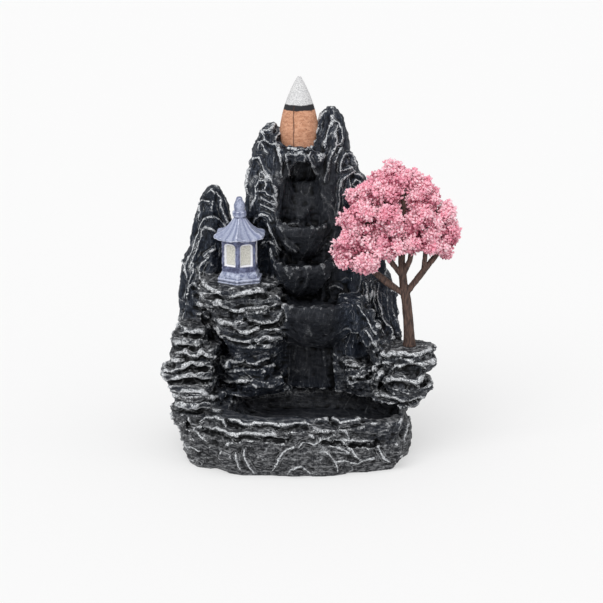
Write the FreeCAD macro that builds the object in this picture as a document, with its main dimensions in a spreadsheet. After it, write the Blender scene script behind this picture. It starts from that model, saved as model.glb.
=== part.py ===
"""Backflow incense burner: a cast resin mountain with stepped bowls above a pool.

A cone of incense stands in a cup between the two highest peaks. Its draught sinks through
the duct under it into a cave, spills down three bowls and gathers in the pool. A small
six-sided garden lantern and a blossom tree are glued on the ledges at either side.

The frame has its origin on the table under the middle of the base, +X to the right,
+Y to the back and +Z up, in millimetres.
"""

import FreeCAD
import Part
import Sketcher

import math
import os

Vector = FreeCAD.Vector
doc = FreeCAD.newDocument("incense_burner")

# Driving dimensions
DIMENSIONS = {
    "base_half_width": 41.0,
    "base_half_depth": 37.0,
    "base_middle_x": -2.6,
    "rim_height": 18.5,
    "pool_floor": 11.5,
    "pool_half_width": 30.5,
    "pool_half_depth": 17.5,
    "pool_middle_x": 4.6,
    "pool_middle_y": -9.5,
    "cone_x": -0.8,
    "cone_y": 6.0,
    "cup_floor": 103.5,
    "cup_radius": 6.9,
    "duct_radius": 2.5,
    "cave_floor": 94.0,
    "cave_roof": 101.2,
    "cave_half_width": 4.6,
    "lantern_x": -21.3,
    "lantern_y": -4.0,
    "lantern_ledge": 61.0,
    "lantern_turn": -5.0,
    "tree_x": 37.4,
    "tree_y": -10.5,
    "tree_ledge": 39.3,
    "cone_height": 27.0,
    "cone_foot_radius": 6.2,
    "cone_belly_radius": 6.75,
    "cone_belly_height": 9.0,
    "cone_tip_radius": 1.1,
    "cone_bore_radius": 1.7,
    "cone_bore_depth": 17.0,
    "plinth_radius": 8.4,
    "plinth_height": 1.7,
    "step_radius": 7.4,
    "step_height": 1.3,
    "foot_slope_height": 1.2,
    "body_radius": 6.7,
    "body_height": 10.9,
    "eave_radius": 9.7,
    "eave_thickness": 0.8,
    "roof_height": 6.05,
    "neck_radius": 2.4,
    "neck_height": 2.7,
    "finial_radius": 2.0,
    "finial_height": 4.85,
    "window_width": 4.6,
    "window_height": 7.7,
    "window_depth": 0.7,
    "window_sill": 1.8,
}

sheet = doc.addObject("Spreadsheet::Sheet", "Sizes")
for line, (alias, value) in enumerate(DIMENSIONS.items(), start=1):
    sheet.set(f"A{line}", alias)
    sheet.set(f"B{line}", str(value))
    sheet.setAlias(f"B{line}", alias)
doc.recompute()


def size(alias):
    """A driving dimension, read from the sheet."""
    return float(sheet.get(alias))


def bind(item, **formulas):
    """Binds properties of an object to the sheet; two underscores stand for a dot."""
    for name, formula in formulas.items():
        item.setExpression(name.replace("__", "."), formula)


# Stone forms: each is a stack of rings joined by flat facets
FULL_TURN = 2 * math.pi
STONE_SQUARENESS = 2.5
PEAK_FLUTE = 0.1


def ring(middle, half_width, half_depth, count, phase, rough=0.07, wave=0.0, flute=0.0):
    """An uneven, slightly square loop of points around a middle point."""
    points = []
    for step in range(count):
        turn = FULL_TURN * step / count
        across = math.cos(turn)
        along = math.sin(turn)
        corner = abs(across) ** STONE_SQUARENESS + abs(along) ** STONE_SQUARENESS
        reach = corner ** (-1 / STONE_SQUARENESS)
        reach *= 1 + rough * (
            0.9 * math.sin(3 * turn + phase)
            + 0.6 * math.sin(5 * turn + 2.3 * phase)
            + 0.5 * math.sin(8 * turn + 4.1 * phase)
        )
        reach *= 1 + (flute if step % 2 else -flute)
        lift = wave * math.sin(2 * turn + 1.7 * phase) + 0.6 * wave * math.sin(5 * turn + phase)
        offset = Vector(half_width * reach * across, half_depth * reach * along, lift)
        points.append(middle + offset)
    return points


def facet(*corners):
    """A flat face through the given corners."""
    return Part.Face(Part.makePolygon([*corners, corners[0]]))


def solid_of_rings(rings):
    """A closed solid whose sides are triangles between neighbouring rings."""
    faces = [facet(*rings[0]), facet(*rings[-1])]
    count = len(rings[0])
    for low, high in zip(rings, rings[1:]):
        for step in range(count):
            after = (step + 1) % count
            if low[step].distanceToPoint(high[after]) < low[after].distanceToPoint(high[step]):
                faces.append(facet(low[step], low[after], high[after]))
                faces.append(facet(low[step], high[after], high[step]))
            else:
                faces.append(facet(low[step], low[after], high[step]))
                faces.append(facet(low[after], high[after], high[step]))
    solid = Part.Solid(Part.Shell(faces))
    if solid.Volume < 0:
        solid.reverse()
    return solid


def feature(name, shape):
    """A document object that holds a shape made here."""
    item = doc.addObject("Part::Feature", name)
    item.Shape = shape
    return item


def slab(name, x, y, top, thick, half_width, half_depth, phase):
    """One layer of bedded stone: a flat top, a proud broken edge and a drawn-in foot."""
    count = 12
    foot = Vector(x, y, top - thick)
    edge = Vector(x + 0.6 * math.sin(phase), y + 0.5 * math.sin(1.7 * phase), top - 0.32 * thick)
    crown = Vector(edge.x, edge.y, top)
    rings = [
        ring(foot, 0.78 * half_width, 0.8 * half_depth, count, phase, 0.1),
        ring(edge, 1.01 * half_width, 1.01 * half_depth, count, phase, 0.12, 0.12 * thick),
        ring(crown, 0.93 * half_width, 0.93 * half_depth, count, phase + 0.2, 0.11),
    ]
    return feature(name, solid_of_rings(rings))


def crag(name, foot, tip, half_width, half_depth, cap, phase):
    """A leaning peak with fluted sides and a blunt crown that is `cap` tall."""
    count = 12
    start = Vector(*foot)
    end = Vector(*tip)
    tall = end.z - start.z
    levels = [(0.0, 1.1), (0.55 * (1 - cap / tall), 1.05)]
    for share in (0.0, 0.45, 0.82, 1.0):
        width = 0.22 + 0.78 * (1 - share**2) ** 0.75
        levels.append((1 + (share - 1) * cap / tall, width))
    rings = []
    for share, width in levels:
        middle = start + (end - start) * share
        turn = phase + 0.4 * share
        reach = (half_width * width, half_depth * width)
        rings.append(ring(middle, *reach, count, turn, 0.07, flute=PEAK_FLUTE))
    return feature(name, solid_of_rings(rings))


def bowl(name, x, y, rim, half_width, half_depth, drop, foot, phase):
    """A hanging bowl of fluted stone with a shallow dish and a spout at the front."""
    count = 16
    dish = 2.4
    spout = 1.4
    back = Vector(foot[0], foot[1], rim - drop)
    belly = Vector(x, y, rim - 0.45 * drop)
    levels = [
        (back, 0.34, 0.0),
        (back * 0.5 + belly * 0.5, 0.66, 0.0),
        (Vector(x, y, rim - 0.3 * drop), 0.92, 0.0),
        (Vector(x, y, rim - 1.3), 1.03, 0.0),
        (Vector(x, y, rim), 0.94, 0.4),
        (Vector(x, y, rim - 0.3), 0.82, 1.0),
        (Vector(x, y, rim - dish), 0.66, 0.0),
    ]
    rings = []
    for middle, scale, cut in levels:
        loop = ring(middle, half_width * scale, half_depth * scale, count, phase, 0.09, flute=0.06)
        for point in loop:
            front = max(0.0, (y - point.y) / half_depth - abs(point.x - x) / half_width)
            point.z -= spout * cut * front
        rings.append(loop)
    return feature(name, solid_of_rings(rings))


# Base, its boulders, and the pool
BOULDERS = [
    (-31.0, -15.5, 13.0, 13.0, 11.6, 13.0),
    (-17.5, -26.5, 15.5, 8.5, 13.0, 8.6),
    (-14.5, -27.6, 8.5, 8.5, 13.6, 8.4),
    (5.5, -28.2, 11.4, 11.4, 13.0, 8.4),
    (4.0, -26.8, 16.6, 5.6, 14.5, 8.4),
    (22.0, -23.0, 9.5, 9.5, 12.0, 9.4),
    (24.5, -20.0, 17.0, 8.6, 9.6, 9.6),
    (32.4, -6.0, 12.0, 12.0, 6.4, 12.0),
]


def base_stones():
    """The footing, the boulders around it and the rim of the pool."""
    x = size("base_middle_x")
    width = size("base_half_width")
    depth = size("base_half_depth")
    rim = size("rim_height")
    count = 20
    footing = [
        ring(Vector(x, 0, 0), 0.89 * width, 0.92 * depth, count, 0.4, 0.03),
        ring(Vector(x, 0, 0.3 * rim), 0.98 * width, 0.97 * depth, count, 0.4, 0.04, 0.6),
        ring(Vector(x, 0, 0.66 * rim), 0.92 * width, 0.92 * depth, count, 0.7, 0.04),
    ]
    rim_stone = [
        ring(Vector(x, 1.5, 0.5 * rim), 0.86 * width, 0.85 * depth, count, 1.9, 0.04),
        ring(Vector(x, 1.5, 0.82 * rim), 0.92 * width, 0.92 * depth, count, 2.0, 0.05, 0.7),
        ring(Vector(x, 1.5, rim), 0.88 * width, 0.88 * depth, count, 2.0, 0.045),
    ]
    stones = [feature("footing", solid_of_rings(footing)), feature("rim", solid_of_rings(rim_stone))]
    for order, values in enumerate(BOULDERS):
        stones.append(slab(f"boulder_{order}", *values, phase=0.4 + 1.43 * order))
    return stones


def pool_space():
    """The space of the pool: a wide dish that opens upwards."""
    middle = (size("pool_middle_x"), size("pool_middle_y"))
    width = size("pool_half_width")
    depth = size("pool_half_depth")
    floor = size("pool_floor")
    rim = size("rim_height")
    count = 18
    rings = [
        ring(Vector(*middle, floor), 0.86 * width, 0.84 * depth, count, 3.1, 0.04),
        ring(Vector(*middle, 0.5 * (floor + rim)), 0.95 * width, 0.95 * depth, count, 3.1, 0.04),
        ring(Vector(*middle, rim + 1.0), width, depth, count, 3.1, 0.04),
    ]
    return feature("pool_space", solid_of_rings(rings))


# Peaks behind the ledges: name, foot, tip, half width, half depth, height of the crown
PEAKS = [
    ("left_peak", (-33.0, 15.0, 0.0), (-31.2, 16.0, 90.5), 8.0, 11.5, 24.0),
    ("left_flank", (-38.2, 14.0, 0.0), (-38.6, 14.5, 69.0), 5.0, 8.0, 13.0),
    ("left_fold", (-34.0, 8.0, 0.0), (-35.6, 7.0, 60.0), 6.6, 8.0, 20.0),
    ("left_valley", (-24.0, 19.0, 0.0), (-22.0, 19.0, 76.0), 9.6, 12.0, 14.0),
    ("west_summit", (-12.0, 14.0, 0.0), (-10.2, 8.0, 114.0), 7.2, 9.4, 16.0),
    ("west_shoulder", (-15.5, 13.0, 0.0), (-14.6, 9.0, 103.5), 4.4, 8.4, 14.0),
    ("west_arch", (-17.0, 8.0, 40.0), (-15.4, 5.0, 101.0), 3.8, 5.6, 12.0),
    ("west_fin", (-12.0, 3.0, 50.0), (-13.0, 2.6, 97.5), 4.6, 4.8, 15.0),
    ("west_fold", (-13.0, 6.0, 58.0), (-7.0, 2.2, 109.0), 4.4, 5.6, 14.0),
    ("west_spur", (-12.6, 5.0, 40.0), (-12.6, 4.4, 83.5), 5.0, 5.4, 9.0),
    ("east_summit", (12.0, 14.0, 0.0), (10.3, 8.0, 119.8), 6.3, 9.4, 17.0),
    ("east_slope", (8.0, 8.0, 50.0), (7.0, 6.0, 114.5), 4.2, 7.0, 13.0),
    ("east_fold", (15.5, 4.0, 50.0), (7.8, 2.0, 111.0), 4.4, 5.6, 17.0),
    ("east_rib", (19.0, 5.0, 40.0), (12.8, 3.0, 107.0), 4.2, 5.6, 16.0),
    ("east_thumb", (16.0, 9.0, 40.0), (16.2, 7.0, 104.0), 3.9, 5.8, 8.0),
    ("east_knob", (18.0, 10.0, 30.0), (18.8, 6.0, 97.8), 4.8, 6.6, 7.0),
    ("east_massif", (21.0, 14.0, 0.0), (19.4, 13.0, 90.0), 9.6, 12.0, 26.0),
    ("east_front", (19.0, 4.0, 0.0), (17.0, 5.0, 80.0), 6.4, 7.4, 16.0),
    ("east_shoulder", (29.0, 11.0, 0.0), (28.2, 12.0, 62.0), 6.4, 11.0, 20.0),
    ("east_foot", (30.0, 3.0, 0.0), (29.6, 4.0, 50.0), 6.4, 7.6, 16.0),
    ("back_wall", (0.0, 21.0, 0.0), (0.0, 17.0, 111.0), 14.0, 12.0, 26.0),
    ("fall_wall", (0.5, 14.0, 0.0), (0.0, 12.0, 106.0), 12.4, 8.5, 10.0),
    ("fall_foot", (8.0, 8.6, 0.0), (7.6, 8.6, 50.0), 6.4, 7.0, 12.0),
    ("cup_stone", (-0.6, 13.0, 60.0), (-0.6, 5.0, 108.4), 10.6, 8.2, 4.0),
]

# Slabs of the stacks: x, y, top, thickness, half width, half depth; the slabs of the two
# ledges count from what stands on them
LANTERN_LEDGE = [
    (-0.9, 0.0, 0.0, 3.4, 14.6, 12.6),
    (-0.1, 0.2, -3.2, 4.2, 14.4, 13.0),
    (1.1, 1.2, -7.4, 3.6, 13.8, 12.4),
    (0.9, 0.8, -11.0, 4.0, 12.6, 11.4),
    (3.5, 1.6, -14.8, 3.8, 12.2, 11.8),
    (4.3, 1.8, -18.4, 5.0, 12.0, 11.6),
    (3.7, 3.4, -23.0, 5.6, 9.4, 9.8),
    (3.1, 3.6, -28.6, 6.0, 9.8, 10.2),
    (5.7, 4.4, -34.4, 6.0, 11.0, 10.4),
    (3.8, 6.0, -39.5, 12.0, 12.5, 9.6),
]
LEFT_STACK = [
    (-37.4, 2.0, 45.0, 4.2, 6.6, 10.0),
    (-39.4, -0.5, 41.6, 4.4, 6.6, 10.4),
    (-35.8, -2.6, 38.4, 4.2, 8.8, 10.8),
    (-38.8, -5.0, 35.8, 4.8, 8.6, 10.8),
    (-39.4, -5.6, 31.4, 4.6, 9.0, 11.2),
    (-37.6, -7.5, 27.2, 5.0, 8.8, 11.6),
    (-37.2, -8.5, 22.6, 4.8, 9.0, 12.4),
    (-35.4, -9.0, 18.4, 7.0, 9.6, 13.6),
]
TREE_LEDGE = [
    (-1.4, -0.1, 0.0, 4.0, 9.8, 10.8),
    (-0.2, 1.5, -3.7, 4.4, 9.4, 11.6),
    (-2.6, -0.1, -7.9, 4.8, 9.8, 10.8),
    (-1.2, 2.5, -12.3, 4.8, 9.2, 12.0),
    (-4.0, 3.5, -16.7, 5.2, 8.6, 11.0),
    (-6.8, 7.5, -20.7, 9.0, 8.2, 11.0),
]
STEP_STONES = [
    (19.6, -2.0, 31.6, 4.6, 5.6, 7.4),
    (21.0, -1.4, 27.2, 4.8, 6.4, 8.2),
    (22.2, 0.6, 22.8, 12.0, 6.8, 7.8),
]
LIP_STONES = [
    (-4.0, -1.0, 107.4, 4.8, 4.6, 3.2),
    (2.8, -1.4, 105.6, 5.0, 5.0, 3.4),
]
RAMP_STONES = [
    (17.0, -3.0, 56.0, 8.0, 5.4, 6.0),
    (20.8, -4.6, 51.4, 8.0, 4.6, 5.4),
    (24.2, -5.4, 46.4, 8.0, 4.2, 5.2),
    (27.2, -5.6, 41.2, 9.0, 4.2, 5.4),
]
LANTERN_FOOT = ("lantern_x", "lantern_y", "lantern_ledge")
TREE_FOOT = ("tree_x", "tree_y", "tree_ledge")
STACKS = {
    "lantern_ledge": (LANTERN_LEDGE, LANTERN_FOOT),
    "left_stack": (LEFT_STACK, None),
    "tree_ledge": (TREE_LEDGE, TREE_FOOT),
    "step_stone": (STEP_STONES, None),
    "lip_stone": (LIP_STONES, None),
    "ramp_stone": (RAMP_STONES, None),
}

# Bowls of the fall: x, y, rim height, half width, half depth, drop, foot
BOWLS = [
    (0.6, 0.5, 81.4, 11.2, 9.0, 14.0, (0.5, 4.0)),
    (0.2, -1.8, 68.0, 10.4, 9.4, 14.0, (0.3, 3.0)),
    (3.0, -4.7, 55.1, 16.5, 11.5, 19.6, (4.3, 3.1)),
]


def rock_stones():
    """Every stone of the casting, before they become one."""
    stones = base_stones()
    for order, values in enumerate(PEAKS):
        stones.append(crag(*values, phase=0.7 + 1.31 * order))
    for group, (layers, foot) in STACKS.items():
        start = Vector(*[size(alias) for alias in foot]) if foot else Vector()
        for order, (x, y, top, *shape) in enumerate(layers):
            spot = (start.x + x, start.y + y, start.z + top)
            stones.append(slab(f"{group}_{order}", *spot, *shape, phase=0.9 + 2.17 * order))
    for order, values in enumerate(BOWLS):
        stones.append(bowl(f"bowl_{order}", *values, phase=0.3 + 1.9 * order))
    return stones


def cave_space():
    """The arched end of the duct, at the back of the grotto."""
    x = size("cone_x") + 1.2
    width = size("cave_half_width")
    floor = size("cave_floor")
    roof = size("cave_roof")
    spring = floor + 0.5 * (roof - floor)
    back = size("cone_y") + 3.0
    mouth = -9.0
    low_left = Vector(x - width, mouth, floor)
    low_right = Vector(x + width, mouth, floor)
    left = Vector(x - width, mouth, spring)
    right = Vector(x + width, mouth, spring)
    crown = Vector(x, mouth, roof)
    edges = [
        Part.LineSegment(left, low_left).toShape(),
        Part.LineSegment(low_left, low_right).toShape(),
        Part.LineSegment(low_right, right).toShape(),
        Part.Arc(right, crown, left).toShape(),
    ]
    return feature("cave_space", Part.Face(Part.Wire(edges)).extrude(Vector(0, back - mouth, 0)))


# Grotto: levels of z, middle x, middle y, half width, half depth
GROTTO = [
    (82.6, 0.8, -8.0, 6.4, 8.0),
    (89.0, 0.8, -6.0, 6.6, 9.4),
    (95.5, 0.6, -4.0, 5.6, 10.6),
    (100.0, 0.4, -4.0, 4.2, 9.6),
    (102.6, 0.2, -5.0, 2.0, 6.4),
]


def grotto_space():
    """The hollow under the cup's lip, pointed at the top, whose back wall leans to the duct."""
    rings = [
        ring(Vector(x, y, z), half_width, half_depth, 12, 1.1, 0.06, flute=0.04)
        for z, x, y, half_width, half_depth in GROTTO
    ]
    return feature("grotto_space", solid_of_rings(rings))


def lantern_niche():
    """Room kept free of rock around the lantern, narrowing with its roof."""
    x = size("lantern_x")
    y = size("lantern_y")
    floor = size("lantern_ledge")
    reach = size("eave_radius") + 0.9
    rings = [
        ring(Vector(x, y, floor), reach, reach, 12, 0.6, 0.04),
        ring(Vector(x, y, floor + 17.0), reach, reach, 12, 0.9, 0.04),
        ring(Vector(x, y, floor + 24.0), 0.6 * reach, 0.6 * reach, 12, 1.2, 0.04),
        ring(Vector(x, y, floor + 31.0), 0.4 * reach, 0.4 * reach, 12, 1.2, 0.04),
    ]
    return feature("lantern_niche", solid_of_rings(rings))


def build_rock():
    """The casting: every stone made one, then hollowed."""
    cup = doc.addObject("Part::Cylinder", "cup_space")
    bind(
        cup,
        Radius="Sizes.cup_radius",
        Height="20",
        Placement__Base__x="Sizes.cone_x",
        Placement__Base__y="Sizes.cone_y",
        Placement__Base__z="Sizes.cup_floor",
    )
    duct = doc.addObject("Part::Cylinder", "duct")
    bind(
        duct,
        Radius="Sizes.duct_radius",
        Height="Sizes.cup_floor - Sizes.cave_floor",
        Placement__Base__x="Sizes.cone_x",
        Placement__Base__y="Sizes.cone_y",
        Placement__Base__z="Sizes.cave_floor + 1",
    )
    mass = doc.addObject("Part::MultiFuse", "stones")
    mass.Shapes = rock_stones()
    hollows = doc.addObject("Part::MultiFuse", "hollows")
    hollows.Shapes = [pool_space(), cave_space(), grotto_space(), lantern_niche(), cup, duct]
    rock = doc.addObject("Part::Cut", "rock")
    rock.Base = mass
    rock.Tool = hollows
    rock.Label = "rock_body"
    return rock


# Blossom tree, counted from its foot: round limbs, each a path of (x, y, z, radius)
TRUNK = [
    (0.0, 0.0, 0.0, 2.4),
    (-0.1, 0.0, 2.1, 1.95),
    (-0.6, 0.0, 9.7, 1.7),
    (-1.4, 0.0, 16.7, 1.65),
    (-2.4, 0.0, 21.7, 1.45),
    (-3.2, 0.0, 29.7, 1.15),
    (-2.9, -0.5, 44.7, 0.9),
    (-2.9, -0.5, 51.7, 0.75),
    (-3.9, 0.0, 57.7, 0.6),
]
BRANCHES = [
    [
        (-1.4, 0.0, 17.7, 1.35),
        (-7.9, -1.5, 22.7, 1.2),
        (-12.4, -2.5, 26.7, 1.0),
        (-22.4, -3.5, 34.2, 0.7),
    ],
    [
        (-3.0, 0.0, 24.7, 1.0),
        (-7.9, -2.0, 31.7, 0.9),
        (-12.4, -3.0, 42.7, 0.8),
        (-18.9, -2.5, 45.7, 0.5),
    ],
    [
        (-3.0, -0.3, 40.7, 0.8),
        (-7.9, -1.5, 47.7, 0.7),
        (-11.9, -1.5, 53.7, 0.6),
        (-16.4, -1.0, 53.2, 0.5),
    ],
    [
        (-2.8, 0.0, 24.7, 1.0),
        (-0.4, -1.5, 30.7, 0.85),
        (2.1, -1.5, 46.7, 0.65),
        (4.6, 1.0, 54.7, 0.5),
    ],
    [
        (-1.8, 0.0, 18.2, 1.3),
        (5.1, 1.0, 27.2, 1.05),
        (9.1, 1.5, 32.2, 0.9),
        (10.6, 0.5, 45.7, 0.55),
    ],
    [
        (4.6, 1.0, 26.7, 0.9),
        (4.8, -0.5, 31.7, 0.75),
        (5.1, -1.5, 37.7, 0.55),
    ],
    [
        (-3.0, 0.0, 26.7, 0.9),
        (-3.4, 4.5, 36.7, 0.75),
        (-4.4, 6.0, 48.7, 0.55),
    ],
]
LIMB_SIDES = 7


def limb(path):
    """A tapering round limb along a path; its first and last ends are flat."""
    points = [Vector(*spot[:3]) for spot in path]
    rings = []
    for place, spot in enumerate(path):
        ahead = points[min(place + 1, len(points) - 1)]
        behind = points[max(place - 1, 0)]
        along = (ahead - behind).normalize() if place else Vector(0, 0, 1)
        side = along.cross(Vector(0, 1, 0)).normalize()
        other = along.cross(side)
        rings.append(
            [
                points[place]
                + side * (spot[3] * math.cos(FULL_TURN * step / LIMB_SIDES))
                + other * (spot[3] * math.sin(FULL_TURN * step / LIMB_SIDES))
                for step in range(LIMB_SIDES)
            ]
        )
    return solid_of_rings(rings)


def tree_piece(label, shape):
    """A piece of the tree, whose shape counts from the foot of the trunk."""
    piece = feature(label, shape)
    piece.Label = label
    piece.Placement = FreeCAD.Placement()
    bind(
        piece,
        Placement__Base__x="Sizes.tree_x",
        Placement__Base__y="Sizes.tree_y",
        Placement__Base__z="Sizes.tree_ledge",
    )
    return piece


def build_tree():
    """Trunk and branches, one moulding that stands on its ledge, and its shape."""
    limbs = limb(TRUNK).fuse([limb(path) for path in BRANCHES])
    return tree_piece("tree_trunk", limbs), limbs


# Blossom, counted from the tree's foot: clumps of x, y, z, radius for every bough
BLOSSOM = {
    "foliage_left_low": [
        (-23.4, -3.5, 33.7, 4.6),
        (-19.8, -4.0, 38.3, 4.2),
        (-16.0, -4.0, 31.1, 4.6),
        (-15.0, -4.5, 36.7, 4.2),
    ],
    "foliage_left_middle": [
        (-20.8, -2.5, 45.1, 4.2),
        (-15.8, -3.1, 46.7, 4.4),
        (-16.4, -2.9, 42.3, 4.0),
        (-8.2, -4.1, 46.7, 4.6),
        (-11.4, -3.5, 43.3, 3.8),
    ],
    "foliage_left_high": [
        (-19.8, -1.0, 51.9, 2.9),
        (-15.8, -1.5, 53.1, 3.6),
        (-12.0, -1.5, 54.3, 4.6),
        (-7.0, -1.5, 54.3, 4.0),
    ],
    "foliage_crown": [
        (-11.4, 0.0, 57.9, 3.6),
        (-6.4, 0.0, 58.3, 4.2),
        (-6.0, 0.5, 61.5, 3.3),
    ],
    "foliage_right_high": [
        (-0.4, 1.0, 58.9, 3.8),
        (3.2, 1.5, 56.1, 3.9),
        (6.4, 1.5, 53.7, 3.4),
        (2.0, 0.9, 52.3, 4.4),
        (7.0, 0.5, 51.1, 3.6),
    ],
    "foliage_front": [
        (-10.6, -4.9, 37.3, 4.2),
        (-6.4, -4.1, 36.3, 3.9),
        (-5.8, -3.5, 40.9, 3.6),
    ],
    "foliage_right_middle": [
        (0.0, -2.5, 37.9, 4.6),
        (5.2, -1.5, 38.1, 4.6),
        (2.2, -1.9, 45.1, 4.6),
        (6.6, -1.5, 44.1, 3.8),
    ],
    "foliage_right": [
        (11.2, 0.5, 47.3, 3.9),
        (9.8, 0.9, 42.7, 4.2),
        (13.8, 1.5, 39.1, 4.2),
        (10.2, 1.5, 35.9, 3.6),
        (11.2, 2.1, 32.9, 2.4),
    ],
    "foliage_back": [
        (-8.8, 5.1, 41.7, 4.8),
        (-4.8, 5.5, 49.1, 5.2),
        (-0.6, 5.5, 53.3, 4.8),
        (-1.4, 5.5, 41.1, 4.8),
        (3.6, 5.5, 46.3, 5.0),
    ],
}


def clump(x, y, z, radius, phase):
    """A ball of blossom with flat facets."""
    rings = []
    for slope in (-58, -2, 56):
        level = math.radians(slope + 5 * math.sin(phase + slope))
        middle = Vector(x, y, z + radius * math.sin(level))
        reach = 0.96 * radius * math.cos(level)
        rings.append(ring(middle, reach, reach, 7, phase + 0.02 * slope, 0.05))
    return solid_of_rings(rings)


def build_blossom(limbs):
    """One piece of blossom for every bough, each fitted around the limbs and its neighbours."""
    pieces = []
    taken = [limbs]
    for number, (label, clumps) in enumerate(BLOSSOM.items()):
        balls = [clump(*values, phase=number + 1.7 * place) for place, values in enumerate(clumps)]
        rest = balls[0].fuse(balls[1:]).cut(taken)
        largest = max(rest.Solids, key=lambda solid: solid.Volume)
        pieces.append(tree_piece(label, largest))
        taken.append(largest)
    return pieces


# Turned and stacked parts: a measure is a sum of shares of driving dimensions
def value(measure):
    """The number a measure stands for."""
    return sum(share * size(alias) for alias, share in measure.items())


def formula(measure):
    """The expression a measure stands for."""
    return " + ".join(f"{share} * Sizes.{alias}" for alias, share in measure.items()) or "0"


def stack(*aliases):
    """The height above the foot after the named layers."""
    return {alias: 1 for alias in aliases}


def origin_plane(body, role):
    """One of the planes of a body's own origin."""
    return next(item for item in body.Origin.OriginFeatures if item.Role == role)


def pin(sketch, edge, end, spot):
    """Holds one end of an edge at a spot measured from the sketch's origin."""
    across, up = spot
    if across:
        line = sketch.addConstraint(Sketcher.Constraint("DistanceX", -1, 1, edge, end, value(across)))
        sketch.setExpression(f"Constraints[{line}]", formula(across))
    else:
        sketch.addConstraint(Sketcher.Constraint("PointOnObject", edge, end, -2))
    if up:
        line = sketch.addConstraint(Sketcher.Constraint("DistanceY", -1, 1, edge, end, value(up)))
        sketch.setExpression(f"Constraints[{line}]", formula(up))
    else:
        sketch.addConstraint(Sketcher.Constraint("PointOnObject", edge, end, -1))


def outline(body, name, plane, corners, arcs=None, lift=None):
    """A closed sketch through the corners; `arcs` gives a spot on each edge that is curved."""
    arcs = arcs or {}
    sketch = body.newObject("Sketcher::SketchObject", name)
    sketch.AttachmentSupport = [(origin_plane(body, plane), "")]
    sketch.MapMode = "FlatFace"
    if lift:
        sketch.setExpression("AttachmentOffset.Base.z", formula(lift))
    spots = [Vector(value(across), value(up), 0) for across, up in corners]
    count = len(corners)
    ends = []
    for edge in range(count):
        start = spots[edge]
        end = spots[(edge + 1) % count]
        if edge not in arcs:
            sketch.addGeometry(Part.LineSegment(start, end))
            ends.append((1, 2))
            continue
        across, up = arcs[edge]
        middle = Vector(value(across), value(up), 0)
        sketch.addGeometry(Part.Arc(start, middle, end))
        turns_left = (middle - start).cross(end - start).z > 0
        ends.append((1, 2) if turns_left else (2, 1))
    for edge in range(count):
        after = (edge + 1) % count
        sketch.addConstraint(
            Sketcher.Constraint("Coincident", edge, ends[edge][1], after, ends[after][0])
        )
        pin(sketch, edge, ends[edge][0], corners[edge])
    for edge, spot in arcs.items():
        mark = sketch.addGeometry(Part.Point(Vector(value(spot[0]), value(spot[1]), 0)), True)
        pin(sketch, mark, 1, spot)
        sketch.addConstraint(Sketcher.Constraint("PointOnObject", mark, 1, edge))
    return sketch


def new_body(label, x, y, z, turn="0"):
    """A body placed from the sheet."""
    body = doc.addObject("PartDesign::Body", f"body_{label}")
    body.Label = label
    body.Placement = FreeCAD.Placement(Vector(0, 0, 0), FreeCAD.Rotation(Vector(0, 0, 1), 1))
    bind(body, Placement__Base__x=x, Placement__Base__y=y, Placement__Base__z=z)
    body.setExpression("Placement.Rotation.Angle", turn)
    return body


def revolve(body, name, sketch):
    """Turns a half outline about the upright axis."""
    turned = body.newObject("PartDesign::Revolution", name)
    turned.Profile = sketch
    turned.ReferenceAxis = (sketch, ["V_Axis"])
    turned.Angle = 360
    return turned


def build_cone():
    """The incense cone: pressed powder with a blind bore up from its foot."""
    body = new_body("incense_cone", "Sizes.cone_x", "Sizes.cone_y", "Sizes.cup_floor")
    corners = [
        ({"cone_bore_radius": 1}, {}),
        ({"cone_foot_radius": 1}, {}),
        ({"cone_belly_radius": 1}, {"cone_belly_height": 1}),
        ({"cone_tip_radius": 0.966}, {"cone_height": 1, "cone_tip_radius": -0.741}),
        ({"cone_tip_radius": 0.38}, {"cone_height": 1}),
        ({}, {"cone_height": 1}),
        ({}, {"cone_bore_depth": 1}),
        ({"cone_bore_radius": 1}, {"cone_bore_depth": 1}),
    ]
    arcs = {
        2: ({"cone_belly_radius": 0.76}, {"cone_height": 0.615}),
        3: ({"cone_tip_radius": 0.76}, {"cone_height": 1, "cone_tip_radius": -0.3}),
    }
    revolve(body, "cone_turned", outline(body, "cone_profile", "XZ_Plane", corners, arcs))
    return body


def hexagon(body, name, radius, lift=None):
    """A six-sided sketch with a corner on +X."""
    corners = []
    for turn in range(0, 360, 60):
        across = math.cos(math.radians(turn))
        up = math.sin(math.radians(turn))
        wide = {alias: round(share * across, 6) for alias, share in radius.items()}
        tall = {alias: round(share * up, 6) for alias, share in radius.items()}
        corners.append((wide, tall if turn % 180 else {}))
    return outline(body, name, "XY_Plane", corners, lift=lift)


def layer(body, name, radius, height, lift=None):
    """An upright six-sided layer of the lantern."""
    pad = body.newObject("PartDesign::Pad", name)
    pad.Profile = hexagon(body, f"{name}_outline", radius, lift)
    pad.setExpression("Length", formula(height))
    return pad


def slope(body, name, sections):
    """A six-sided form with straight hips through outlines of (radius, lift)."""
    sketches = [
        hexagon(body, f"{name}_outline_{order}", radius, lift)
        for order, (radius, lift) in enumerate(sections)
    ]
    loft = body.newObject("PartDesign::AdditiveLoft", name)
    loft.Profile = sketches[0]
    loft.Sections = sketches[1:]
    loft.Ruled = True
    return loft


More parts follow.
